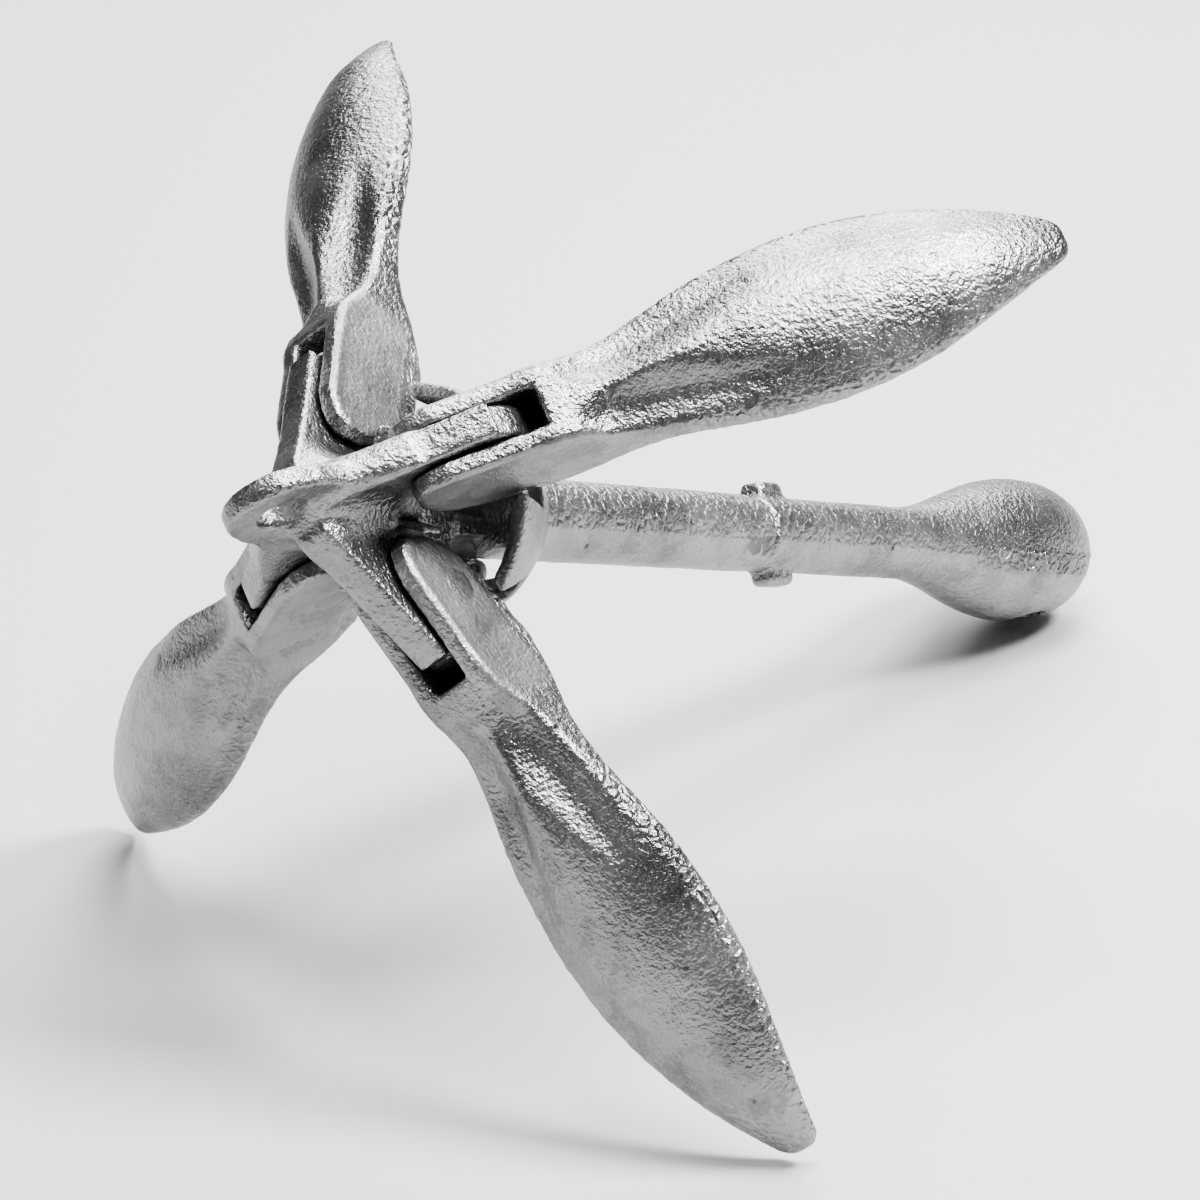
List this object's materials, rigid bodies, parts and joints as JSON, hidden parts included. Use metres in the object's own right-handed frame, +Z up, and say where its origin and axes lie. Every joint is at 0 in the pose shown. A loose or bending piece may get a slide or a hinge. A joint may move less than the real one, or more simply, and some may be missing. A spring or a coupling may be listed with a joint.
{
  "type": "folding grapnel anchor",
  "caption": "Folding grapnel anchor in galvanised cast iron: spoon-shaped flukes pivot on a crown with a trip-line eye, and a bell-shaped collar slides along the shank to lock them.",
  "frame": {"origin": "middle of the bounding box, at its base, on the deck under the anchor", "axes": "+X level along the shank from crown to head, +Z up; the anchor lies on the tips of flukes 3 and 4 and on its round head"},
  "size_m": [0.342, 0.2306, 0.199],
  "materials": {
    "galvanised_casting": "hot-dip galvanised, rough as cast",
    "galvanised_rivet": "hot-dip galvanised, hammered flush"
  },
  "bodies": {
    "crown_and_shank": {"crown_casting": "galvanised_casting", "head_casting": "galvanised_casting"},
    "collar": {"locking_collar": "galvanised_casting"},
    "fluke_1": {"fluke_1": "galvanised_casting", "pivot_rivet_1": "galvanised_rivet"},
    "fluke_2": {"fluke_2": "galvanised_casting", "pivot_rivet_2": "galvanised_rivet"},
    "fluke_3": {"fluke_3": "galvanised_casting", "pivot_rivet_3": "galvanised_rivet"},
    "fluke_4": {"fluke_4": "galvanised_casting", "pivot_rivet_4": "galvanised_rivet"}
  },
  "joints": [
    {"name": "collar_slide", "type": "slide", "parent": "crown_and_shank", "child": "collar", "axis": [0.9289, 0, -0.3704], "range_m": [0, 0.15]},
    {"name": "fluke_1_hinge", "type": "hinge", "parent": "crown_and_shank", "child": "fluke_1", "pos_m": [-0.11536, 0.01941, 0.14525], "axis": [-0.2606, 0.7106, -0.6535], "range_deg": [0, 53.9]},
    {"name": "fluke_2_hinge", "type": "hinge", "parent": "crown_and_shank", "child": "fluke_2", "pos_m": [-0.11542, -0.01482, 0.14509], "axis": [0.2632, 0.7036, 0.6601], "range_deg": [0, 47.9]},
    {"name": "fluke_3_hinge", "type": "hinge", "parent": "crown_and_shank", "child": "fluke_3", "pos_m": [-0.1281, -0.01464, 0.1133], "axis": [0.2606, -0.7106, 0.6535], "range_deg": [0, 68.9]},
    {"name": "fluke_4_hinge", "type": "hinge", "parent": "crown_and_shank", "child": "fluke_4", "pos_m": [-0.12804, 0.01958, 0.11346], "axis": [-0.2632, -0.7036, -0.6601], "range_deg": [0, 60.9]}
  ],
  "couplings": [
    {"joint": "fluke_1_hinge", "follows": "collar_slide", "rad_per_m": 6.2715},
    {"joint": "fluke_2_hinge", "follows": "collar_slide", "rad_per_m": 5.5734},
    {"joint": "fluke_3_hinge", "follows": "collar_slide", "rad_per_m": 8.0169},
    {"joint": "fluke_4_hinge", "follows": "collar_slide", "rad_per_m": 7.086}
  ]
}
